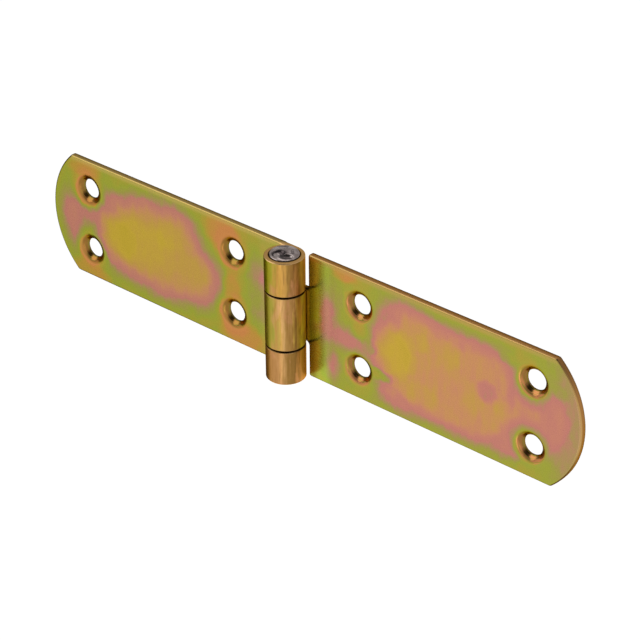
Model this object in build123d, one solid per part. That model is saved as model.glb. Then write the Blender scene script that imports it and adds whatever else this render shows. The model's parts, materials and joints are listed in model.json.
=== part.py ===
from build123d import *
from math import asin, cos, degrees, radians, sin, sqrt
import os

# Strap hinge with a riveted pin, in millimetres.
# The pin stands along Z with its middle at the origin. The left leaf runs along -X, the right leaf along +X.
# Both leaves have their flat back, the mounting side, at +Y. Knuckles and countersinks face -Y.

# Steel strip that both leaves are cut and rolled from. The press leaves its front edges rounder than the back ones.
sheet = 2.0
front_edge_round = 0.7
back_edge_round = 0.35

# Pin and the rolled knuckles around it
pin_d = 7.7
pin_clearance = 0.05
roll_gap = 0.3
middle_knuckle = 17.3
knuckle_play = 0.35
knuckle_inset = 0.15
shoulder_run = 1.5

# Leaves
leaf_reach = 100.0
leaf_height = 40.0
tip_radius = 26.5
tip_corner_round = 1.0
notch_clearance = 0.6
notch_round = 1.3
heel_round = 0.8

# Countersunk screw holes, four to a leaf
screw_hole_d = 6.2
countersink_d = 9.0
countersink_angle = 90.0
countersink_rim_round = 2.2
first_hole = 24.0
hole_pitch = 60.0
hole_rows = 20.5

# Riveted pin heads, each with the dent of the riveting tool
head_d = 8.6
head_height = 0.75
head_round = 0.5
dent_d = 3.4
dent_depth = 0.4
dent_offset = 1.9
dent_angle = 253.0

# Sizes that follow from the ones above
bore_r = pin_d / 2 + pin_clearance
knuckle_r = bore_r + sheet
half_height = leaf_height / 2
knuckle_end = half_height - knuckle_inset
middle_end = middle_knuckle / 2
outer_start = middle_end + knuckle_play
notch_reach = sqrt((knuckle_r + notch_clearance) ** 2 - bore_r ** 2)
roll_turn = 270 + degrees(asin((bore_r - roll_gap) / knuckle_r))
tip_centre = leaf_reach - tip_radius
tip_corner_x = tip_centre + sqrt(tip_radius ** 2 - half_height ** 2)

# Sketches of a leaf are drawn in X and Z on its back face, and grow towards the front
back_plane = Plane.XZ.offset(-knuckle_r)

# Cutters run this far past what they cut, and corners and edges are found by their place to within this much
past = sheet
near = 1e-4


def block(low, high):
    """Rectangle between two corners."""
    width = high[0] - low[0]
    height = high[1] - low[1]
    return Pos(low[0], low[1]) * Rectangle(width, height, align=(Align.MIN, Align.MIN))


def strap():
    """Plan of a leaf before its notches are cut: straight sides and a round nose, from the pin axis outwards."""
    sides = Polyline(
        (tip_corner_x, half_height),
        (0, half_height),
        (0, -half_height),
        (tip_corner_x, -half_height),
    )
    nose = ThreePointArc((tip_corner_x, -half_height), (leaf_reach, 0), (tip_corner_x, half_height))
    plan = make_face(sides + nose)
    return fillet(plan.vertices().group_by(Axis.X)[-1], tip_corner_round)


def shoulder():
    """Sliver above an outer knuckle's tongue, where the leaf's long edge eases down to the knuckle's end."""
    run_end = notch_reach
    run_start = run_end - shoulder_run
    waist = ((run_start + run_end) / 2, (knuckle_end + half_height) / 2)
    flat = Line((0, knuckle_end), (run_start, knuckle_end))
    rise = TangentArc((run_start, knuckle_end), waist, tangent=(1, 0))
    ease = TangentArc(waist, (run_end, half_height), tangent=rise % 1)
    top = half_height + past
    rim = Polyline((run_end, half_height), (run_end, top), (0, top), (0, knuckle_end))
    return make_face(flat + rise + ease + rim)


def corners_at(plan, x, heights):
    """Corners of a plan at one distance from the pin and at the given heights."""
    return [
        v for v in plan.vertices()
        if abs(v.X - x) < near and any(abs(v.Y - z) < near for z in heights)
    ]


def outer_knuckles_plan():
    """Leaf with a notch between two tongues, which roll into the top and bottom knuckles."""
    plan = strap() - block((-past, -outer_start), (notch_reach, outer_start))
    plan = fillet(corners_at(plan, notch_reach, (outer_start, -outer_start)), notch_round)
    return plan - shoulder() - mirror(shoulder(), about=Plane.XZ)


def middle_knuckle_plan():
    """Leaf with one tongue between two notches, which rolls into the middle knuckle."""
    plan = strap()
    for low, high in ((middle_end, half_height + past), (-half_height - past, -middle_end)):
        plan -= block((-past, low), (notch_reach, high))
    plan = fillet(corners_at(plan, notch_reach, (middle_end, -middle_end)), notch_round)
    return fillet(corners_at(plan, notch_reach, (half_height, -half_height)), heel_round)


def flat_leaf(plan):
    """Sheet of the plan's shape with eased edges and countersunk holes, lying at the back of the barrel."""
    plate = extrude(back_plane * plan, sheet)
    for side, rounding in ((0, front_edge_round), (-1, back_edge_round)):
        outline = plate.faces().sort_by(Axis.Y)[side].edges()
        plate = fillet([e for e in outline if e.center().X > near], rounding)
    hole = CounterSinkHole(screw_hole_d / 2, countersink_d / 2, sheet + past, countersink_angle)
    for x in (first_hole, first_hole + hole_pitch):
        for z in (-hole_rows / 2, hole_rows / 2):
            plate -= Plane((x, bore_r, z), z_dir=(0, -1, 0)) * hole
    front = plate.faces().sort_by(Axis.Y)[0]
    rims = [e for e in front.edges() if e.is_closed]
    return fillet(rims, countersink_rim_round)


def rolled_knuckle(low, high):
    """Tongue of sheet curled round the pin, from the back of the leaf almost to the leaf's own front."""
    outer = CenterArc((0, 0), knuckle_r, 90, roll_turn)
    inner = CenterArc((0, 0), bore_r, 90, roll_turn)
    section = make_face([outer, inner, Line(outer @ 0, inner @ 0), Line(outer @ 1, inner @ 1)])
    roll = Pos(0, 0, low) * extrude(section, high - low)
    for radius, rounding in ((bore_r, front_edge_round), (knuckle_r, back_edge_round)):
        rims = roll.edges().filter_by(GeomType.CIRCLE)
        roll = fillet([e for e in rims if abs(e.radius - radius) < near], rounding)
    return roll


def leaf(plan, knuckles):
    """One leaf on the +X side: the flat strap and its rolled knuckles as a single piece."""
    piece = flat_leaf(plan)
    for low, high in knuckles:
        piece += rolled_knuckle(low, high)
    return piece


def pin_head():
    """Low button that the end of the pin was hammered into, standing on z = 0."""
    button = Cylinder(head_d / 2, head_height, align=(Align.CENTER, Align.CENTER, Align.MIN))
    button = fillet(button.edges().sort_by(Axis.Z)[-1], head_round)
    ball_r = ((dent_d / 2) ** 2 + dent_depth ** 2) / (2 * dent_depth)
    dent_x = dent_offset * cos(radians(dent_angle))
    dent_y = dent_offset * sin(radians(dent_angle))
    return button - Pos(dent_x, dent_y, head_height + ball_r - dent_depth) * Sphere(ball_r)


def pin_flare():
    """Metal under a head that the hammer drove into the rounded mouth of the bore, hanging from z = 0."""
    collar = Cylinder(head_d / 2, front_edge_round, align=(Align.CENTER, Align.CENTER, Align.MAX))
    mouth = Torus(bore_r + front_edge_round, front_edge_round + pin_clearance)
    return collar - Pos(0, 0, -front_edge_round) * mouth


def pin():
    """Shaft through the three knuckles with a flared head on each end."""
    top = Pos(0, 0, knuckle_end) * (pin_head() + pin_flare())
    return Cylinder(pin_d / 2, 2 * knuckle_end) + top + mirror(top, about=Plane.XY)


outer_spans = ((outer_start, knuckle_end), (-knuckle_end, -outer_start))
middle_span = ((-middle_end, middle_end),)

pieces = {
    "left_leaf": mirror(leaf(outer_knuckles_plan(), outer_spans), about=Plane.YZ),
    "right_leaf": leaf(middle_knuckle_plan(), middle_span),
    "hinge_pin": pin(),
}

os.makedirs("parts", exist_ok=True)
for node, shape in pieces.items():
    export_step(shape, f"parts/{node}.step")
    print(node, len(shape.solids()), "solid,", round(shape.volume, 1), "cubic mm")
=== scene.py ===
# %% [markdown]
# # A strap hinge in yellow-passivated steel
# The hinge has three pieces: two long leaves of 2 mm strip and the riveted pin that they turn on. Their
# shapes come from the CAD model, which is loaded first and never moved. What Blender adds is the finish:
# the rainbow film on the plated leaves, and the hammered heads of the bare pin.

# %% Load the frame
import bpy
import json
from math import cos, degrees, hypot, pi, radians, sin, sqrt
from mathutils import Matrix, Vector


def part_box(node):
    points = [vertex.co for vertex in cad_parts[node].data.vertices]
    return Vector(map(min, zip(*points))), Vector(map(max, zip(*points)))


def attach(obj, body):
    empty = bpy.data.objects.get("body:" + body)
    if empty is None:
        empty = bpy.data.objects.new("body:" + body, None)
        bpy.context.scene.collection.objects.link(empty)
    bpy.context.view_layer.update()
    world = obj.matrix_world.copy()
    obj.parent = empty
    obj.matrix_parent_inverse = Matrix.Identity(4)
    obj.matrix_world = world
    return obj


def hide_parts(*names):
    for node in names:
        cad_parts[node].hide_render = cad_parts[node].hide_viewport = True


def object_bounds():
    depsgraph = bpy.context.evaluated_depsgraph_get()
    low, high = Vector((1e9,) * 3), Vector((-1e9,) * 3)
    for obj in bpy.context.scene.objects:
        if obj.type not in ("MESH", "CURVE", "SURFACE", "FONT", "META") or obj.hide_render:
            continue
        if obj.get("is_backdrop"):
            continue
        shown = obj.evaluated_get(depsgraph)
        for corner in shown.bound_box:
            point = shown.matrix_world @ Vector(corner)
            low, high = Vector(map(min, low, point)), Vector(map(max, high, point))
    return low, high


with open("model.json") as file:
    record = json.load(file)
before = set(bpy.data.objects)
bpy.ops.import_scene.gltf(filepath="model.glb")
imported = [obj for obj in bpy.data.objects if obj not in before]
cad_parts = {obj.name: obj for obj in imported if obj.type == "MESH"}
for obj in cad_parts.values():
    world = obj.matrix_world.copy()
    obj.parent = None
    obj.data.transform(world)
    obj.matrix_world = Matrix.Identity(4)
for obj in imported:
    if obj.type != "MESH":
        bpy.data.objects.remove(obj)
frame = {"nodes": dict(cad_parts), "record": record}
cad_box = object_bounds()
millimetres = 1000
box_size = [round(v * millimetres, 2) for v in cad_box[1] - cad_box[0]]
print("pieces", sorted(frame["nodes"]), "in a box of", box_size, "mm")

# %% [markdown]
# ## Camera
# The photograph looks down on the hinge from its right front. A camera fitted to the outline, the holes
# and the barrel gives the angles and the lens below. It is built from three axes, because the photo is
# also a fraction of a degree out of level, which a plain look-at would lose.

# %% Camera at the photograph's angle
view_azimuth = radians(41.42)
view_elevation = radians(30.634)
view_roll = radians(-0.385)
view_distance = 0.62485
aim = Vector((0.01312, 0.0, 0.00351))
sensor_mm = 36.0
lens_mm = 125.49
nearest_seen = 0.01


def add_object(name, data):
    """A new object in the scene."""
    made = bpy.data.objects.new(name, data)
    bpy.context.scene.collection.objects.link(made)
    return made


towards_camera = Vector((
    sin(view_azimuth) * cos(view_elevation),
    -cos(view_azimuth) * cos(view_elevation),
    sin(view_elevation),
))
level_right = (-towards_camera).cross(Vector((0, 0, 1))).normalized()
level_up = level_right.cross(-towards_camera)
right = level_right * cos(view_roll) + level_up * sin(view_roll)
up = level_up * cos(view_roll) - level_right * sin(view_roll)

camera = add_object("camera", bpy.data.cameras.new("camera"))
camera.data.sensor_width = sensor_mm
camera.data.lens = lens_mm
camera.data.clip_start = nearest_seen
axes = Matrix((right, up, towards_camera)).transposed().to_4x4()
camera.matrix_world = Matrix.Translation(aim + towards_camera * view_distance) @ axes
bpy.context.scene.camera = camera
bpy.context.scene.view_settings.view_transform = "Standard"
print("camera at", [round(v, 3) for v in camera.location])

# %% [markdown]
# ## Sums with sockets
# A finish is a long sum: distances, masks and noise that end in a colour. Drawn as nodes it is a web that
# nobody can read, so a small class wraps a socket, and each Python operator on it adds one Math node.
# Every other node comes from one method of the recipe, which sets the node's own settings first and then
# fills its sockets. Most masks are steps. The two ends of a step are kept as a pair with a name that ends
# in fade: where the mask is still 0, and where it is 1.

# %% A recipe of nodes and the signals in it
class Recipe:
    """The node tree of one finish."""

    def __init__(self, tree):
        tree.nodes.clear()
        self.tree = tree

    def node(self, kind, settings=None, inputs=None, output=0):
        """Adds a node: its settings first, then its sockets, each a plain value or a signal to link."""
        made = self.tree.nodes.new("ShaderNode" + kind)
        for name, value in (settings or {}).items():
            if name == "stops":
                self.fill_ramp(made.color_ramp, value)
            else:
                setattr(made, name, value)
        for name, value in (inputs or {}).items():
            if isinstance(value, Signal):
                self.tree.links.new(value.socket, made.inputs[name])
            else:
                made.inputs[name].default_value = value
        return Signal(self, made.outputs[output]) if made.outputs else None

    @staticmethod
    def fill_ramp(ramp, stops):
        """Gives a colour ramp its stops, pairs of a place from 0 to 1 and a linear colour."""
        while len(ramp.elements) < len(stops):
            ramp.elements.new(1.0)
        for element, (place, colour) in zip(ramp.elements, stops):
            element.position = place
            element.color = colour

    def math(self, operation, *values):
        """One Math node."""
        return self.node("Math", {"operation": operation}, dict(enumerate(values)))

    def step(self, value, start, full):
        """0 up to start, 1 from full on, and a smooth way between. Start may be the larger."""
        ends = {"Value": value, "From Min": start, "From Max": full}
        return self.node("MapRange", {"interpolation_type": "SMOOTHSTEP"}, ends)

    def blend(self, share, first, second):
        """A colour between two others."""
        return self.node("Mix", {"data_type": "RGBA"}, {0: share, 6: first, 7: second}, output=2)

    def times(self, vector, factors):
        """A vector or a colour multiplied part by part."""
        return self.node("VectorMath", {"operation": "MULTIPLY"}, {0: vector, 1: factors})

    def split(self, vector):
        """The three parts of a vector."""
        return [self.node("SeparateXYZ", None, {0: vector}, output=part) for part in range(3)]

    def surface(self, inputs):
        """Ends the recipe with a Principled shader."""
        shader = self.node("BsdfPrincipled", None, inputs)
        self.node("OutputMaterial", None, {"Surface": shader})


class Signal:
    """A socket that can be used in Python sums."""

    def __init__(self, recipe, socket):
        self.recipe = recipe
        self.socket = socket

    def __add__(self, other):
        return self.recipe.math("ADD", self, other)

    def __radd__(self, other):
        return self.recipe.math("ADD", other, self)

    def __sub__(self, other):
        return self.recipe.math("SUBTRACT", self, other)

    def __rsub__(self, other):
        return self.recipe.math("SUBTRACT", other, self)

    def __mul__(self, other):
        return self.recipe.math("MULTIPLY", self, other)

    def __rmul__(self, other):
        return self.recipe.math("MULTIPLY", other, self)

    def __truediv__(self, other):
        return self.recipe.math("DIVIDE", self, other)

    def __pow__(self, other):
        return self.recipe.math("POWER", self, other)

    def __abs__(self):
        return self.recipe.math("ABSOLUTE", self)

    def at_least(self, other):
        return self.recipe.math("MAXIMUM", self, other)

    def at_most(self, other):
        return self.recipe.math("MINIMUM", self, other)

    def join(self, other, soft):
        """The larger of two signals, with a rounded change from one to the other."""
        return self.recipe.math("SMOOTH_MAX", self, other, soft)

    def carve(self, other, soft):
        """The smaller of two signals, with a rounded change from one to the other."""
        return self.recipe.math("SMOOTH_MIN", self, other, soft)


def new_finish(name):
    """An empty material and the recipe to fill it with."""
    finish = bpy.data.materials.new(name)
    finish.use_nodes = True
    return finish, Recipe(finish.node_tree)


def paint(red, green, blue):
    """A colour as read off a screen, from 0 to 255, turned into linear values by the usual sRGB curve."""
    shares = [c / 255 for c in (red, green, blue)]
    linear = [c / 12.92 if c <= 0.04045 else ((c + 0.055) / 1.055) ** 2.4 for c in shares]
    return (*linear, 1.0)


def grey(level):
    """A neutral linear colour."""
    return (level, level, level, 1.0)


print("a mid grey of 128 is", round(paint(128, 128, 128)[0], 3), "in linear values")

# %% [markdown]
# ## Floor
# The photo is cut out on plain white, with nothing under the hinge. A hinge isn't made to stand, so it
# hangs over a white floor far enough down that its shadow stays out of the picture. The floor is a white
# diffuse sheet, and for the camera and for mirror rays it also glows a little, which lifts it from pale
# grey to the photo's white.

# %% White floor well below the hinge
floor_drop = 0.30
floor_half = 6.0
floor_white = 0.75
floor_glow = 0.70


def seen_rays(recipe):
    """1 for rays from the camera, off glossy metal or through glass, and 0 for the rest."""
    kinds = ("Is Camera Ray", "Is Glossy Ray", "Is Transmission Ray")
    first, second, third = [recipe.node("LightPath", output=kind) for kind in kinds]
    return first.at_least(second).at_least(third)


def flat_sheet(name, corners):
    """One face with four corners, as an object of its own."""
    mesh = bpy.data.meshes.new(name)
    mesh.from_pydata(corners, [], [(0, 1, 2, 3)])
    return add_object(name, mesh)


floor_z = cad_box[0].z - floor_drop
corner_signs = ((-1, -1), (1, -1), (1, 1), (-1, 1))
floor = flat_sheet("floor", [(x * floor_half, y * floor_half, floor_z) for x, y in corner_signs])
floor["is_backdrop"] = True

floor_finish, recipe = new_finish("white_floor")
floor_finish.cycles.emission_sampling = "NONE"
recipe.surface({
    "Base Color": grey(floor_white),
    "Roughness": 1.0,
    "Specular IOR Level": 0.0,
    "Emission Color": recipe.blend(seen_rays(recipe), grey(0.0), grey(floor_glow)),
    "Emission Strength": 1.0,
})
floor.data.materials.append(floor_finish)
print("floor at", round(floor_z, 3), "m")

# %% [markdown]
# ## Studio
# Metal looks like what stands around it, so the studio matters as much as the finish. In the photo the
# flat faces mirror the white table, the upper edges mirror a darker room behind, and the small dark spots
# in the countersinks mirror the unlit place above the photographer. The world is that room: white down at
# the table, grey higher up, and dark in front. Only the camera sees it as plain white.

# %% Room around the hinge
room_grey = 0.40
room_white = 0.95
white_fade = (0.34, 0.06)
dark_middle = Vector((0.25, -0.55, 0.80))
dark_fade = (0.82, 0.95)
dark_share = 0.92

world = bpy.data.worlds.new("studio")
world.use_nodes = True
bpy.context.scene.world = world
recipe = Recipe(world.node_tree)
direction = recipe.node("TexCoord", output="Generated")
height = recipe.split(direction)[2]
facing = recipe.node(
    "VectorMath", {"operation": "DOT_PRODUCT"}, {0: direction, 1: dark_middle}, output="Value")
level = room_grey + (room_white - room_grey) * recipe.step(height, *white_fade)
level = level * (1 - dark_share * recipe.step(facing, *dark_fade))
room = recipe.node("CombineColor", None, {0: level, 1: level, 2: level})
shown = recipe.blend(recipe.node("LightPath", output="Is Camera Ray"), room, grey(1.0))
backdrop = recipe.node("Background", None, {"Color": shown, "Strength": 1.0})
recipe.node("OutputWorld", None, {"Surface": backdrop})
print("room from", room_grey, "to", room_white)

# %% [markdown]
# ## Lamps
# Two large softboxes light the hinge: one high on the front left, which runs as a pale line along the
# eased upper edges, and one high behind, for the hinge's upper side. A low strip in front draws the
# upright highlight on the barrel. A lamp's brightness as metal mirrors it is its power over pi and its
# area, so the power is worked out from the brightness wanted, and stays the same to the eye when a lamp
# is made larger.

# %% Softboxes
def softbox(name, place, width, height, brightness):
    """A lamp aimed at the hinge that a mirror would show at the given brightness."""
    light = bpy.data.lights.new(name, "AREA")
    light.shape = "RECTANGLE"
    light.size = width
    light.size_y = height
    light.energy = brightness * pi * width * height
    lamp = add_object(name, light)
    lamp.location = place
    lamp.rotation_euler = (-Vector(place)).to_track_quat("-Z", "Y").to_euler()
    lamp.visible_camera = False
    print(name, "gives", round(light.energy, 2), "W")


softbox("front_left_softbox", place=(-0.95, -0.85, 0.95), width=1.1, height=1.1, brightness=1.15)
softbox("overhead_softbox", place=(-0.51, 0.58, 1.57), width=0.6, height=0.6, brightness=1.0)
softbox("low_strip", place=(0.095, -0.35, -0.214), width=0.075, height=0.24, brightness=0.85)

# %% [markdown]
# ## Dark card
# A shiny nose in front of a white floor has no outline. Photographers stand a dark card beside it, out of
# the picture, and the rounded edges that turn towards the card mirror it as a thin dark line. This one
# leans on the left, and only mirror rays meet it, so it throws no shadow on the floor.

# %% Card on the left
card_grey = 0.50
card_near_x = -0.27
card_far_x = -0.45
card_front_y = -0.13
card_back_y = 0.90
card_top = 0.12
card_lift = 0.005

card_foot = floor_z + card_lift
card = flat_sheet("dark_card", [
    (card_near_x, card_front_y, card_foot),
    (card_near_x, card_back_y, card_foot),
    (card_far_x, card_back_y, card_top),
    (card_far_x, card_front_y, card_top),
])
card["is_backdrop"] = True
card.visible_camera = False
card.visible_diffuse = False
card.visible_shadow = False

card_finish, recipe = new_finish("dark_card")
recipe.surface({"Base Color": grey(card_grey), "Roughness": 1.0, "Specular IOR Level": 0.0})
card.data.materials.append(card_finish)
print("card from", card_near_x, "to", card_far_x, "m on the left")

# %% [markdown]
# ## Film colours
# Zinc plate is dipped in a yellow chromate bath, which leaves a film a fraction of a micron thick. Its
# colour comes from interference, so each thickness has its own: tan where the film is thinnest, then
# olive, green, mauve, peach, and gold where it is thickest. One ramp holds that order. The film is then
# drawn as a map of depth in millimetres inside soft-edged blooms, and every colour band follows by
# itself, as it does on the real plate.

# %% Ramp from film depth to colour
film_bands = (
    (-9.0, paint(194, 130, 76)),
    (-6.0, paint(180, 142, 64)),
    (-4.0, paint(166, 150, 61)),
    (-2.0, paint(150, 156, 60)),
    (-0.7, paint(154, 147, 74)),
    (0.3, paint(166, 136, 93)),
    (1.3, paint(184, 121, 108)),
    (2.8, paint(188, 127, 105)),
    (4.2, paint(190, 138, 93)),
    (6.0, paint(185, 148, 75)),
    (8.5, paint(187, 159, 62)),
    (11.0, paint(180, 156, 56)),
)
thinnest = film_bands[0][0]
thickest = film_bands[-1][0]


def film_colour(recipe, depth):
    """The interference colour at a depth in millimetres inside the blooms."""
    place = (depth - thinnest) / (thickest - thinnest)
    stops = [((mm - thinnest) / (thickest - thinnest), colour) for mm, colour in film_bands]
    return recipe.node("ValToRGB", {"stops": stops}, {0: place})


print(len(film_bands), "film colours from", thinnest, "to", thickest, "mm")

# %% [markdown]
# ## Blooms on the leaves
# Each leaf dried in its own way, so each has its own blooms. A bloom is an oval or a rounded box, in
# millimetres out from the pin and up from the middle line. Depth is how far inside its outline a point
# lies, times a slope that each leaf has, up to a depth at which the bloom levels off. Blooms that meet
# are joined softly.

# %% Bloom outlines
# Each bloom: middle out and up, half length, half height, squareness (2 is an oval),
# and the depth at which it levels off.
left_blooms = (
    (57.0, -1.0, 22.7, 14.6, 3.0, 5.2),
    (48.0, 7.0, 11.5, 10.6, 2.2, 5.2),
    (67.0, 5.0, 11.0, 9.0, 2.2, 5.2),
    (57.0, 5.5, 14.0, 11.5, 2.4, 5.2),
    (41.0, -3.0, 13.0, 10.6, 2.2, 5.2),
    (91.0, -0.5, 5.0, 7.5, 2.2, 2.2),
    (91.3, -5.5, 3.0, 5.5, 2.0, 2.2),
    (84.0, 1.2, 8.0, 3.4, 2.0, 1.6),
)
right_blooms = (
    (55.0, 0.0, 25.5, 17.2, 3.6, 4.2),
    (44.0, 9.0, 12.0, 8.8, 2.4, 4.2),
    (89.5, -0.5, 7.4, 10.0, 2.2, 2.4),
    (95.0, 1.0, 6.0, 15.0, 2.0, 0.2),
    (82.0, -0.8, 9.0, 6.5, 2.0, 3.2),
    (13.0, 2.0, 2.9, 7.5, 2.0, 2.2),
    (14.7, -13.0, 2.2, 3.8, 2.0, 1.6),
    (19.0, -2.7, 8.6, 3.4, 2.2, 1.7),
)
bloom_softness = 2.0


def oval(along, rise, middle, half, square):
    """1 in the middle of a rounded outline, 0 on it and less outside."""
    side = abs((along - middle[0]) / half[0]) ** square
    top = abs((rise - middle[1]) / half[1]) ** square
    return 1 - (side + top) ** (1 / square)


def bloom_depth(along, rise, blooms, slope):
    """Millimetres inside the joined outlines of the blooms, times the slope."""
    depth = None
    for x, z, half_x, half_z, square, deepest in blooms:
        inside = oval(along, rise, (x, z), (half_x, half_z), square) * (slope * min(half_x, half_z))
        inside = inside.carve(deepest, bloom_softness)
        depth = inside if depth is None else depth.join(inside, bloom_softness)
    return depth


print(len(left_blooms), "blooms on the left leaf,", len(right_blooms), "on the right")

# %% [markdown]
# ## Thicker and thinner patches
# Inside the blooms and between them the film isn't even: it is thicker where the bath ran together, and
# thinner where it drained off first. Noise alone would put such patches anywhere, so they are given as soft
# ovals, each of which adds some depth to the film or takes some away.

# %% Patches on each leaf
# Each patch: middle out and up, half length, half height, and the depth that it adds, all in millimetres.
left_patches = (
    (62.0, -0.5, 19.0, 11.5, 2.2),
    (71.5, -1.0, 9.5, 9.0, 2.6),
    (50.0, 6.0, 9.0, 7.0, 1.6),
    (14.0, 1.0, 7.5, 17.0, 2.5),
    (28.0, 15.5, 9.0, 7.0, -5.0),
    (24.0, -1.5, 4.5, 7.0, -3.6),
    (20.5, -17.0, 11.5, 6.0, -5.0),
    (84.5, 17.5, 8.5, 4.5, -4.0),
    (85.0, -18.0, 11.0, 4.5, -3.0),
    (72.0, 12.0, 7.0, 5.0, 0.8),
    (80.0, 5.5, 5.0, 4.0, 1.5),
    (80.0, -6.0, 5.0, 4.0, 2.0),
    (76.5, -1.0, 4.5, 7.0, 1.8),
    (75.5, -8.0, 3.5, 4.0, 1.5),
    (66.0, 8.0, 5.5, 4.5, 1.0),
    (39.0, 0.0, 9.0, 9.0, 0.9),
    (60.0, 17.0, 4.0, 3.0, -1.0),
    (43.0, -14.0, 7.0, 3.0, -0.8),
)
right_patches = (
    (37.0, 0.5, 8.5, 10.5, 4.6),
    (46.0, -9.0, 11.0, 5.0, 1.2),
    (46.0, 9.5, 6.0, 5.0, 0.6),
    (47.0, 3.0, 5.0, 5.0, 0.8),
    (45.5, 6.5, 4.5, 4.0, 1.4),
    (60.0, 7.0, 2.5, 4.0, 1.0),
    (31.5, -4.5, 4.0, 4.0, 2.2),
    (36.0, 9.5, 4.0, 4.0, -1.5),
    (58.0, 13.0, 20.0, 3.2, -0.8),
    (60.0, 17.5, 18.0, 4.0, -1.2),
    (75.0, 14.0, 3.5, 3.0, -1.5),
    (55.0, 6.0, 6.0, 7.0, 1.2),
    (65.0, -3.0, 4.0, 7.0, 1.2),
    (75.5, -2.5, 7.0, 4.0, 1.0),
    (78.0, -6.0, 4.5, 4.0, 1.6),
    (73.0, -7.5, 5.0, 5.0, 0.8),
    (80.0, 13.5, 6.0, 5.0, -1.2),
    (69.5, 0.7, 5.0, 4.5, -3.0),
    (32.6, -8.1, 5.6, 2.8, -3.6),
    (24.5, 2.8, 4.0, 4.5, -1.8),
    (18.5, 19.0, 6.0, 3.5, -4.5),
    (28.5, -5.5, 4.0, 4.0, 1.0),
    (34.0, -15.0, 6.0, 4.5, 1.6),
    (78.0, -14.0, 5.5, 4.5, 1.6),
    (40.0, -17.0, 5.0, 3.0, 1.2),
    (76.0, -16.5, 7.0, 3.0, 1.6),
    (85.0, 3.5, 5.0, 2.5, -1.2),
    (91.5, 10.0, 3.5, 4.0, -1.0),
)
plain_oval = 2.0
patch_fade = (0.0, 0.6)


def add_patches(place, depth, patches):
    """The depth of the film with its thicker and thinner patches."""
    for x, z, half_x, half_z, lift in patches:
        patch = oval(place.bent_along, place.bent_rise, (x, z), (half_x, half_z), plain_oval)
        depth = depth + lift * place.recipe.step(patch, *patch_fade)
    return depth


print(len(left_patches), "patches on the left leaf,", len(right_patches), "on the right")

# %% [markdown]
# ## Places on a leaf
# The masks all start from where a point lies on the leaf: its distance out from the pin, its height, how
# far it is from the nearest screw hole, and whether it is on the rolled barrel, on a flat face or on a
# sheared edge. Object coordinates are used, so everything turns with the leaf when the hinge opens. Slow
# noise bends the outlines of the blooms, and the backs carry the fronts' pattern upside down, so that the
# two sides aren't twins.

# %% Where a point lies
barrel_radius = -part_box("right_leaf")[0].y * millimetres
screws = {mount["name"]: mount for mount in frame["record"]["mounts"]}["right_leaf_screws"]
hole_middle = screws["pos_m"][0] * millimetres
hole_half_pitch = screws["dims"]["spacing_x_mm"] / 2
hole_half_rows = screws["dims"]["spacing_y_mm"] / 2
front_fade = (barrel_radius - 0.2, barrel_radius - 0.5)
# Edges that face down get painted shade.
under_fade = (-0.1, -0.4)
noise_middle = 0.5


class Place:
    """Signals for where a point lies on a leaf, in millimetres."""

    def __init__(self, recipe, side):
        self.recipe = recipe
        self.point = recipe.node("TexCoord", output="Object")
        x, y, z = recipe.split(self.point)
        self.x = x * millimetres
        self.y = y * millimetres
        self.rise = z * millimetres
        self.along = self.x * side
        self.front = recipe.step(self.y, *front_fade)
        self.bent_along = self.along
        self.bent_rise = self.rise * (2 * self.front - 1)
        across, ahead, above = recipe.split(recipe.node("TexCoord", output="Normal"))
        self.sideways = abs(across)
        self.flatness = abs(ahead)
        self.endways = abs(above)
        self.under = recipe.step(above, *under_fade)

    def noise(self, stretch, scale, detail, output=0):
        """Noise whose grain is drawn out along the axes by the given factors."""
        point = self.recipe.times(self.point, stretch)
        inputs = {"Vector": point, "Scale": scale, "Detail": detail}
        return self.recipe.node("TexNoise", None, inputs, output)

    def swing(self, stretch, scale, detail):
        """The same noise, moved so that it swings about zero."""
        return self.noise(stretch, scale, detail) - noise_middle

    def wander(self, reach, noise):
        """Moves the point along the leaf by slow noise. Front and back get different noise."""
        shift_x, shift_z, _ = self.recipe.split(self.noise(*noise, output=1))
        self.bent_along = self.bent_along + (shift_x - noise_middle) * reach
        self.bent_rise = self.bent_rise + (shift_z - noise_middle) * reach

    def hole_distance(self, out=0.0, up=0.0):
        """Distance from the axis of the nearest screw hole, or from beside it by the two given shifts."""
        along = abs(abs(self.along - (hole_middle + out)) - hole_half_pitch)
        rise = abs(abs(self.rise - up) - hole_half_rows)
        return (along * along + rise * rise) ** 0.5

    def pin_distance(self):
        """Distance from the axis of the pin."""
        return (self.x * self.x + self.y * self.y) ** 0.5

    def pin_angle(self):
        """Angle round the pin in degrees, 0 towards the right leaf and -90 towards the front."""
        return self.recipe.math("ARCTAN2", self.y, self.x) * degrees(1)


print("barrel radius", round(barrel_radius, 2), "mm")

# %% [markdown]
# ## Film on the flat faces
# Depth turns into colour here. Away from the blooms the film has a thickness of its own that drifts
# slowly. Inside them it licks up and down in upright flames, as the bath ran off. Screw holes drain the
# film round them, and a drip beside each leaves a lip of thinner film. A mottle as fine as the rolled
# surface breaks up the edges of every band.

# %% Film depth and its colour
# Each noise: how far it is drawn out along x, y and z, its scale and its detail.
drift_noise = ((1.0, 20.0, 1.0), 90.0, 2.0)
mottle_noise = ((1.0, 20.0, 0.45), 500.0, 3.0)
flame_noise = ((1.0, 20.0, 0.25), 330.0, 3.0)
drift_reach = 6.0
mottle_reach = 2.4
flame_fade = (1.0, 4.0)
hole_softness = 1.5
hole_fade = (8.5, 5.5)
lip_fade = (5.6, 4.6)
lip_raggedness = 1.5


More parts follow.
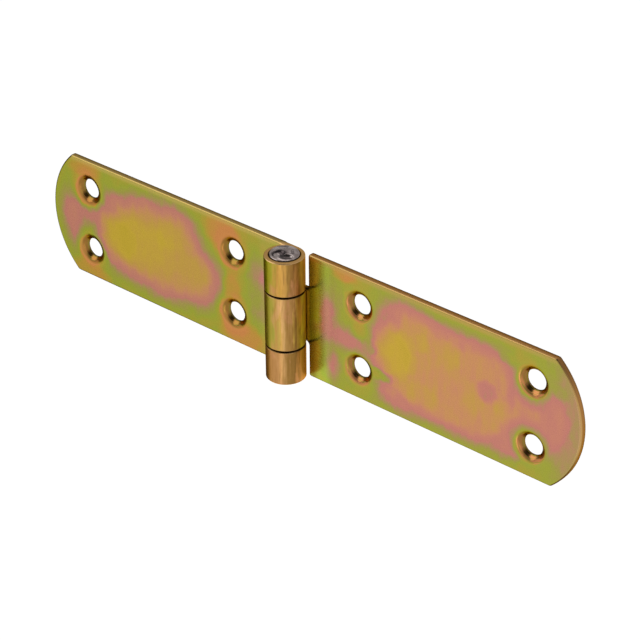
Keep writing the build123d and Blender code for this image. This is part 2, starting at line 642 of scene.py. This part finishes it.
def flat_film(place, look, hole, mottle, flames):
    """Film colour on the flat faces of one leaf."""
    recipe = place.recipe
    depth = bloom_depth(place.bent_along, place.bent_rise, look["blooms"], look["slope"])
    depth = depth.join(look["far"] + place.swing(*drift_noise) * drift_reach, bloom_softness)
    depth = add_patches(place, depth, look["patches"])
    depth = depth + flames * look["flames"] * recipe.step(depth, *flame_fade)
    depth = depth.carve(hole - look["hole_reach"], hole_softness)
    depth = depth - look["hole_drop"] * recipe.step(hole, *hole_fade)
    drip = place.hole_distance(*look["drip"]) + mottle * lip_raggedness
    lip = recipe.step(drip, *lip_fade) * place.front
    film = film_colour(recipe, depth + mottle * mottle_reach - look["lip_drop"] * lip)
    return recipe.times(film, look["tone"])


print("mottle of", mottle_reach, "mm of film depth")

# %% [markdown]
# ## Heel, fold shade and top highlight
# Next to the barrel the leaf mirrors it. The film is paler on the heel, and the fold beside the barrel
# is darkened brown as painted shade and painted reflection of the barrel. A pale band along the upper
# edge is a painted highlight. Three soft bands over the flat film are enough for that.

# %% Bands beside the barrel and the upper edge
heel_outer_fade = (14.5, 11.5)
heel_inner_fade = (7.0, 9.5)
fold_fade = (9.0, 6.5)
# The fold's brown is painted shade and painted reflection of the barrel.
fold_painted_shade = paint(84, 70, 24)
# The pale band along the upper edge is a painted highlight.
top_highlight_fade = (18.0, 19.3)
top_highlight_share = 0.5


def heel_with_fold_shade_and_top_highlight(place, look, flat):
    """The flat film, paler on the heel, with painted shade in the fold and a painted highlight on top."""
    recipe = place.recipe
    heel = recipe.step(place.along, *heel_outer_fade) * recipe.step(place.along, *heel_inner_fade)
    flat = recipe.blend(heel * place.front, flat, recipe.times(flat, look["heel"]))
    # Painted shade and painted reflection of the barrel in the fold.
    fold_shade = recipe.step(place.along, *fold_fade) * place.front
    flat = recipe.blend(look["fold_shade"] * fold_shade, flat, fold_painted_shade)
    # Painted highlight along the upper edge.
    painted_top_highlight = recipe.step(place.rise, *top_highlight_fade) * place.front
    return recipe.blend(top_highlight_share * painted_top_highlight, flat, look["eased"])


print("heel from", heel_inner_fade[0], "to", heel_outer_fade[0], "mm out from the pin")

# %% [markdown]
# ## Countersinks
# The drill left the countersinks smoother than the sheet, and the film in them is thin and
# copper-coloured, with olive stains. The upper half of each wall, which faces down, is darkened brown as
# painted shade. A ring mask round the hole, set against a second one that is shifted up or down, picks
# out the half that is meant.

# %% Film in the countersinks
wall_drop = 1.2
wall_shifted_fade = (5.4, 4.7)
wall_fade = (5.3, 4.6)
stain_fade = (0.0, 0.12)
stain_olive = paint(150, 132, 54)
brow_rise = 1.4
brow_shifted_fade = (4.9, 4.1)
brow_fade = (5.0, 4.2)
brow_share = 0.6
# The browner upper wall, which faces down, is painted shade.
brow_painted_shade = paint(112, 84, 34)
land_fade = (3.3, 3.2)
land_olive = paint(128, 112, 48)


def countersink_film(place, look, flat, hole, flames):
    """The countersink walls, painted shade on their upper half, and the straight land at their foot."""
    recipe = place.recipe
    lower = recipe.step(place.hole_distance(up=-wall_drop), *wall_shifted_fade)
    wall = lower * recipe.step(hole, *wall_fade) * place.front
    stained = recipe.blend(recipe.step(flames, *stain_fade), look["cone"], stain_olive)
    flat = recipe.blend(wall, flat, stained)
    upper = recipe.step(place.hole_distance(up=brow_rise), *brow_shifted_fade)
    brow = upper * recipe.step(hole, *brow_fade) * place.front
    flat = recipe.blend(brow_share * brow, flat, brow_painted_shade)
    return recipe.blend(recipe.step(hole, *land_fade), flat, land_olive)


print("countersink walls tinted out to", wall_fade[0], "mm from the axis of a hole")

# %% [markdown]
# ## Eased and sheared edges
# The strip was sheared to shape and its edges eased, so they have a film of their own: tan where they are
# rounded, with a painted highlight in that tan, and browner on the cut. Painted shade darkens the eased
# edges that face down, the left leaf's nose, and the cut edges towards the back and at the right leaf's
# tip. Which edge a point is on shows in how its normal turns away from the flat face, so no outline has
# to be drawn again.

# %% Film on the edges
eased_fade = (0.95, 0.78)
nose_fade = (0.1, 0.4)
behind_fade = (barrel_radius - 1.1, barrel_radius - 0.3)
tip_fade = (0.3, 0.8)
# Painted shade for edges that face down or back, for the left nose and for the right tip.
edge_painted_shade = paint(78, 60, 34)


def edge_film_and_painted_light(place, look, flat, sunk, sheared):
    """The flat film with the eased and the sheared edges, their painted highlight and painted shade."""
    recipe = place.recipe
    eased = recipe.step(place.flatness, *eased_fade) * (1 - sunk)
    nose = recipe.step(place.sideways, *nose_fade) * look["nose_shade"]
    # Eased edges get tan with a painted highlight, and painted shade where they face down or on the left
    # nose.
    easing = recipe.blend(nose.at_least(place.under), look["eased"], edge_painted_shade)
    flat = recipe.blend(eased, flat, easing)
    behind = recipe.step(place.y, *behind_fade)
    tip = recipe.step(place.sideways, *tip_fade) * look["tip_shade"]
    # Cut edges get painted shade towards the back and at the right leaf's tip.
    shear = recipe.blend(tip.at_least(look["back_shade"] * behind), look["edge"], edge_painted_shade)
    return recipe.blend(sheared, flat, shear)


print("edges shaded from", round(behind_fade[0], 2), "mm behind the pin")

# %% [markdown]
# ## Film and a painted highlight round the barrel
# The knuckles were rolled before they were plated, and the film runs round them in upright streaks. The
# colour is a ramp over the angle round the pin, shaken by noise that is drawn out along the pin, with
# pink blushes and brown stains over it. The ramp also holds a painted highlight: a paler upright band at
# about -60 degrees, the same on every knuckle. The dark lines at its sides aren't painted: the barrel
# mirrors the leaves there, and tan mirrored in tan is brown.

# %% Streaks on the knuckles
# The paler stops near -60 degrees are a painted highlight, the same on every knuckle.
top_streaks_and_highlight = (
    (-180, paint(170, 150, 60)),
    (-125, paint(146, 146, 40)),
    (-97, paint(160, 150, 54)),
    (-82, paint(178, 152, 66)),
    (-70, paint(180, 136, 64)),
    (-57, paint(200, 152, 78)),
    (-40, paint(158, 120, 60)),
    (-24, paint(146, 104, 54)),
    (8, paint(250, 186, 110)),
    (180, paint(170, 150, 60)),
)
middle_streaks_and_highlight = (
    (-180, paint(172, 148, 70)),
    (-125, paint(150, 132, 56)),
    (-97, paint(158, 150, 62)),
    (-82, paint(178, 152, 74)),
    (-72, paint(182, 142, 74)),
    (-60, paint(202, 158, 100)),
    (-46, paint(170, 130, 72)),
    (-24, paint(150, 112, 56)),
    (8, paint(240, 206, 90)),
    (180, paint(172, 148, 70)),
)
bottom_streaks_and_highlight = (
    (-180, paint(180, 140, 80)),
    (-125, paint(168, 116, 60)),
    (-97, paint(180, 132, 80)),
    (-78, paint(178, 130, 78)),
    (-62, paint(190, 145, 90)),
    (-44, paint(152, 114, 58)),
    (-26, paint(138, 102, 49)),
    (8, paint(232, 164, 90)),
    (180, paint(180, 140, 80)),
)
half_turn = 180
full_turn = 360
shake_noise = ((1.0, 1.0, 0.06), 900.0, 4.0)
blush_noise = ((1.0, 1.0, 0.45), 330.0, 4.0)
streak_stain_noise = ((1.0, 1.0, 0.08), 1700.0, 2.0)
streak_shake = 58.0
blush_shake = 50.0
blush_fade = (0.5, 0.68)
blush_share = 0.4
blush_pink = paint(204, 142, 104)
streak_stain_fade = (0.5, 0.7)
streak_stain_share = 0.3
streak_stain_brown = paint(118, 86, 34)


def streak_and_highlight_colour(place, streaks_and_highlight):
    """Film colour round one knuckle, with a painted highlight band."""
    recipe = place.recipe
    shake = place.swing(*shake_noise)
    blush = place.noise(*blush_noise)
    stain = place.noise(*streak_stain_noise)
    angle = place.pin_angle() + shake * streak_shake + (blush - noise_middle) * blush_shake
    stops = [((turn + half_turn) / full_turn, colour) for turn, colour in streaks_and_highlight]
    film = recipe.node("ValToRGB", {"stops": stops}, {0: (angle + half_turn) / full_turn})
    film = recipe.blend(blush_share * recipe.step(blush, *blush_fade), film, blush_pink)
    stained = streak_stain_share * recipe.step(stain, *streak_stain_fade)
    return recipe.blend(stained, film, streak_stain_brown)


print(len(top_streaks_and_highlight), "streak colours on the top knuckle")

# %% [markdown]
# ## Ends of the knuckles
# The rounded rims of the knuckles are painted pale tan as a highlight, and their end faces are a paler
# tan. Painted shadow darkens the crevice round each pin head, and painted shade the gaps between the
# knuckles. Each is one more layer over the streaks, in the order listed.

# %% Knuckles with painted highlight on the rims and painted shade at the gaps
lower_fade = (0.1, -0.1)
# Painted highlight on the rounded rims of the knuckles.
rim_highlight_fade = (0.15, 0.5)
rim_highlight_tan = paint(236, 190, 130)
end_fade = (0.8, 0.97)
end_tan = paint(226, 180, 118)
# Painted shadow round the foot of each pin head.
crevice_fade = (4.9, 4.55)
crevice_height_fade = (19.0, 19.3)
crevice_painted_shadow = paint(58, 44, 24)
knuckle_gap_height = 8.825
# Painted shade in and beside the gaps between the knuckles.
gap_fade = (0.50, 0.28)
gap_painted_shade = paint(104, 78, 40)


def barrel_film_and_painted_light(place, streaks_and_highlight):
    """Film on the knuckles of one leaf, the top one's streaks first, then painted highlight and shade."""
    recipe = place.recipe
    film = streak_and_highlight_colour(place, streaks_and_highlight[0])
    if len(streaks_and_highlight) > 1:
        lower = recipe.step(place.rise, *lower_fade)
        film = recipe.blend(lower, film, streak_and_highlight_colour(place, streaks_and_highlight[1]))
    near_pin = recipe.step(place.pin_distance(), *crevice_fade)
    crevice = near_pin * recipe.step(abs(place.rise), *crevice_height_fade)
    gap = recipe.step(abs(abs(place.rise) - knuckle_gap_height), *gap_fade)
    # Painted highlight on the rims, paler end faces, painted shadow round the heads, painted shade at the
    # gaps.
    layers = (
        (recipe.step(place.endways, *rim_highlight_fade), rim_highlight_tan),
        (recipe.step(place.endways, *end_fade), end_tan),
        (crevice, crevice_painted_shadow),
        (gap, gap_painted_shade),
    )
    for share, colour in layers:
        film = recipe.blend(share, film, colour)
    return film


print("gaps between the knuckles", knuckle_gap_height, "mm up and down")

# %% [markdown]
# ## Plated finish
# The finish is bare metal to the renderer: fully metallic, tinted by the film, and a little rough because
# the strip was cold rolled. A fine grain along the strip varies the gloss, and a finer one gives it some
# tooth as bump. Countersinks are glossier than the sheet, knuckles a little rougher, and sheared edges
# rougher still.

# %% Plated leaf material
slow_bend = ((1.0, 20.0, 1.0), 70.0, 3.0)
slow_reach = 4.5
quick_bend = ((1.0, 20.0, 1.0), 260.0, 3.0)
quick_reach = 2.4
sunk_fade = (6.4, 5.6)
sheared_fade = (0.6, 0.3)
rolled_fade = (barrel_radius + 1.4, barrel_radius + 0.15)
drawn_noise = ((0.05, 1.0, 1.0), 4000.0, 2.0)
grain_noise = ((0.6, 1.0, 1.0), 2600.0, 3.0)
plate_roughness = 0.27
rolled_roughness = 0.05
sunk_polish = 0.08
sheared_roughness = 0.12
drawn_gloss = 0.10
grain_gloss = 0.08
drawn_tooth = 0.5
tooth_strength = 0.12
tooth_height = 0.00004
plate_glint = paint(178, 160, 96)


def plated_finish(name, look):
    """Iridescent plating for one leaf."""
    finish, recipe = new_finish(name)
    place = Place(recipe, look["side"])
    place.wander(slow_reach, slow_bend)
    place.wander(quick_reach, quick_bend)
    mottle = place.swing(*mottle_noise)
    flames = place.swing(*flame_noise)
    hole = place.hole_distance()
    sunk = recipe.step(hole, *sunk_fade) * place.front
    sheared = recipe.step(place.flatness, *sheared_fade) * (1 - sunk)
    rolled = recipe.step(place.pin_distance(), *rolled_fade)

    flat = flat_film(place, look, hole, mottle, flames)
    flat = heel_with_fold_shade_and_top_highlight(place, look, flat)
    flat = countersink_film(place, look, flat, hole, flames)
    flat = edge_film_and_painted_light(place, look, flat, sunk, sheared)
    colour = recipe.blend(rolled, flat, barrel_film_and_painted_light(place, look["streaks_and_highlight"]))

    drawn = place.noise(*drawn_noise)
    grain = place.noise(*grain_noise)
    roughness = plate_roughness + rolled_roughness * rolled
    roughness = roughness - sunk_polish * sunk + sheared_roughness * sheared
    roughness = roughness + (drawn - noise_middle) * drawn_gloss + (grain - noise_middle) * grain_gloss
    tooth = grain + drawn * drawn_tooth
    recipe.surface({
        "Base Color": colour,
        "Metallic": 1.0,
        "Roughness": roughness,
        "Specular Tint": plate_glint,
        "Normal": recipe.node(
            "Bump", None, {"Strength": tooth_strength, "Distance": tooth_height, "Height": tooth}),
    })
    print(name, "has", len(recipe.tree.nodes), "nodes")
    return finish


print("plate roughness", plate_roughness, "on the flat")

# %% [markdown]
# ## Looks of the two leaves
# Both leaves went through the same bath and came out different: the left one has one wide gold bloom, tan
# patches and tan lips at its holes, and the right one a mauve bloom with gold in it and greener holes. So
# one finish serves both, and each leaf hands it its own values. Depths, drops and reaches are in
# millimetres, the painted fold shade and the painted edge shades are shares from 0 to 1, and tone and heel
# multiply the colour. The eased colour carries a painted highlight, and the streaks a painted highlight
# band.

# %% Values for each leaf
looks = {
    "left_leaf": {
        "side": -1,
        "blooms": left_blooms,
        "patches": left_patches,
        "slope": 0.85,
        "far": -2.8,
        "flames": 1.5,
        "hole_reach": 3.0,
        "hole_drop": 2.0,
        "lip_drop": 5.0,
        "drip": (0.6, -0.6),
        "cone": paint(174, 120, 62),
        "eased": paint(192, 164, 94),
        "edge": paint(192, 162, 104),
        "tone": (0.97, 0.97, 0.97),
        "heel": (1.12, 1.0, 1.3),
        "fold_shade": 0.0,
        "nose_shade": 1.0,
        "tip_shade": 0.0,
        "back_shade": 0.6,
        "streaks_and_highlight": (top_streaks_and_highlight, bottom_streaks_and_highlight),
    },
    "right_leaf": {
        "side": 1,
        "blooms": right_blooms,
        "patches": right_patches,
        "slope": 1.0,
        "far": -2.4,
        "flames": 4.0,
        "hole_reach": 5.8,
        "hole_drop": 0.0,
        "lip_drop": 2.0,
        "drip": (-0.6, -0.4),
        "cone": paint(192, 128, 80),
        "eased": paint(188, 150, 90),
        "edge": paint(194, 140, 84),
        "tone": (1.05, 1.0, 1.03),
        "heel": (1.16, 1.36, 1.25),
        "fold_shade": 0.35,
        "nose_shade": 0.0,
        "tip_shade": 0.3,
        "back_shade": 0.6,
        "streaks_and_highlight": (middle_streaks_and_highlight,),
    },
}
for node, look in looks.items():
    frame["nodes"][node].material_slots[0].material = plated_finish("plated_" + node, look)

# %% [markdown]
# ## Hammered pin
# The pin is plain round bar. Once it was through the knuckles, its ends were peened over, and the tool
# left a deep dent on one side of the head, another towards the front and shallower ones at its edge. The
# CAD pin has the one large dent, and here the head is made again, with a height that follows a low crown
# and the dents in it. A sculpted mesh would need a file of its own, and a formula doesn't.

# %% Height of a hammered head
head_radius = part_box("hinge_pin")[1].x
head_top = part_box("hinge_pin")[1].z
head_height = 0.00075
crown_height = 0.00095
crown_set_back = 0.00080
crown_reach = 0.00560
head_easing = 0.00025
rim_foot = 0.00012
blow_turn = radians(41)
# Each dent: middle across and nearer to the viewer, half sizes, depth, share of it that is floor,
# and how steeply the floor falls.
dents = (
    (-0.00170, 0.00060, 0.00215, 0.00190, 0.00075, 0.55, 0.25),
    (0.00060, 0.00250, 0.00210, 0.00130, 0.00055, 0.40, 0.0),
    (0.00215, 0.00020, 0.00080, 0.00120, 0.00030, 0.30, 0.0),
    (-0.00020, -0.00260, 0.00180, 0.00100, 0.00015, 0.30, 0.0),
)


def head_rise(radius, angle):
    """Height of the head over the end of the knuckles."""
    across = radius * cos(angle - blow_turn)
    nearer = radius * sin(blow_turn - angle)
    height = crown_height * (1 - (hypot(across, nearer + crown_set_back) / crown_reach) ** 2)
    inside = head_radius - head_easing
    if radius > inside:
        height -= head_easing - sqrt(max(head_easing ** 2 - (radius - inside) ** 2, 0.0))
    for middle_across, middle_nearer, half_across, half_nearer, depth, floor_share, tilt in dents:
        away = hypot((across - middle_across) / half_across, (nearer - middle_nearer) / half_nearer)
        share = min(max((1 - away) / (1 - floor_share), 0.0), 1.0)
        wall = share * share * (3 - 2 * share)
        height -= wall * (depth + tilt * (nearer - middle_nearer))
    return max(height, rim_foot)


print("head", round(head_rise(0.0, 0.0) * millimetres, 2), "mm high in the middle")

# %% [markdown]
# ## Skin of the pin
# The skin is a stack of rings: out over the top head, in under its edge to the neck, down the shaft, and
# then the same rings mirrored for the bottom head. The rings crowd together towards the edge of a head,
# where it turns down most. This skin stands in for the CAD pin and stays with the fixed leaf.

# %% Pin mesh
pin_radius = 0.00385
neck_radius = 0.00402
neck_drop = 0.00030
pin_segments = 160
head_rings = 80


def pin_rings():
    """Rings of the pin's skin from the top head to the bottom one, each a list of points."""
    shoulder = head_top - head_height
    angles = [2 * pi * i / pin_segments for i in range(pin_segments)]
    radii = [head_radius * sin(pi / 2 * i / head_rings) for i in range(1, head_rings + 1)]
    top = [[(r * cos(a), r * sin(a), shoulder + head_rise(r, a)) for a in angles] for r in radii]
    for radius, level in ((head_radius, rim_foot), (neck_radius, 0.0), (pin_radius, -neck_drop)):
        top.append([(radius * cos(a), radius * sin(a), shoulder + level) for a in angles])
    bottom = [[(x, y, -z) for x, y, z in ring] for ring in reversed(top)]
    return top + bottom


def pin_mesh():
    """Closed skin over the rings, with a point in the middle of each head."""
    rings = pin_rings()
    middle = head_top - head_height + head_rise(0.0, 0.0)
    points = [point for ring in rings for point in ring] + [(0, 0, middle), (0, 0, -middle)]
    faces = []
    for ring in range(len(rings) - 1):
        a = ring * pin_segments
        b = a + pin_segments
        for i in range(pin_segments):
            j = (i + 1) % pin_segments
            faces.append((a + i, b + i, b + j, a + j))
    last = (len(rings) - 1) * pin_segments
    for i in range(pin_segments):
        j = (i + 1) % pin_segments
        faces.append((len(points) - 2, i, j))
        faces.append((len(points) - 1, last + j, last + i))
    mesh = bpy.data.meshes.new("riveted_pin")
    mesh.from_pydata(points, [], faces)
    mesh.shade_smooth()
    return mesh


pin = add_object("riveted_pin", pin_mesh())
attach(pin, "fixed_leaf")
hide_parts("hinge_pin")
print("pin with", len(pin.data.polygons), "faces")

# %% [markdown]
# ## Bare steel
# The pin isn't plated. Its heads are burnished steel with a violet cast and fine scratches, and painted
# shade darkens the dents. The shade is drawn as ragged ovals over the dents, whose edges it doesn't
# follow, and one patch takes shade away as a painted glint.

# %% Pin material
# Each patch of painted shade: middle across and nearer to the viewer, half sizes, in millimetres,
# and how much shade it adds or, as a painted glint, takes away.
dent_shade_patches = (
    (-1.6, 0.5, 2.5, 2.1, 0.95),
    (0.2, 2.6, 2.0, 1.2, 0.8),
    (2.4, -0.2, 0.6, 1.7, 0.5),
    (-0.2, -3.3, 2.4, 0.9, 0.5),
    (-2.1, 0.9, 1.0, 1.2, -1.2),
)
# Painted shade in the dents of the heads.
dent_painted_shade = paint(70, 62, 62)
dent_shade_fade = (0.0, 0.35)
shade_raggedness = 1.2
cast_noise = ((1.0, 1.0, 1.0), 700.0, 4.0)
cast_fade = (0.35, 0.65)
steel_dark = paint(168, 152, 148)
steel_pale = paint(202, 188, 183)
scratch_noise = ((1.0, 0.15, 1.0), 5000.0, 3.0)
scratch_strength = 0.06
scratch_depth = 0.00003
steel_roughness = 0.16
scratch_roughness = 0.12


def dent_shade_share(place, ragged):
    """How much painted shade covers a point of a head, from 0 to 1."""
    across = place.x * cos(blow_turn) + place.y * sin(blow_turn) + ragged
    nearer = place.x * sin(blow_turn) - place.y * cos(blow_turn) + ragged
    layers = []
    for middle_across, middle_nearer, half_across, half_nearer, share in dent_shade_patches:
        patch = oval(across, nearer, (middle_across, middle_nearer), (half_across, half_nearer), plain_oval)
        layers.append(share * place.recipe.step(patch, *dent_shade_fade))
    return sum(layers).at_least(0.0).at_most(1.0)


def bare_steel(name):
    """Burnished steel with painted shade in its dents, scratches and a faint violet cast."""
    finish, recipe = new_finish(name)
    place = Place(recipe, 1)
    cast = place.noise(*cast_noise)
    scratch = place.noise(*scratch_noise)
    colour = recipe.blend(recipe.step(cast, *cast_fade), steel_dark, steel_pale)
    ragged = (cast - noise_middle) * shade_raggedness
    recipe.surface({
        "Base Color": recipe.blend(dent_shade_share(place, ragged), colour, dent_painted_shade),
        "Metallic": 1.0,
        "Roughness": steel_roughness + scratch * scratch_roughness,
        "Normal": recipe.node(
            "Bump", None, {"Strength": scratch_strength, "Distance": scratch_depth, "Height": scratch}),
    })
    print(name, "has", len(recipe.tree.nodes), "nodes")
    return finish


pin.data.materials.append(bare_steel("burnished_steel"))

# %% Boxes before and after
dressed_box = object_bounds()
changes = [abs(a - b) for p, q in zip(cad_box, dressed_box) for a, b in zip(p, q)]
print("largest change of a corner", max(changes), "m")
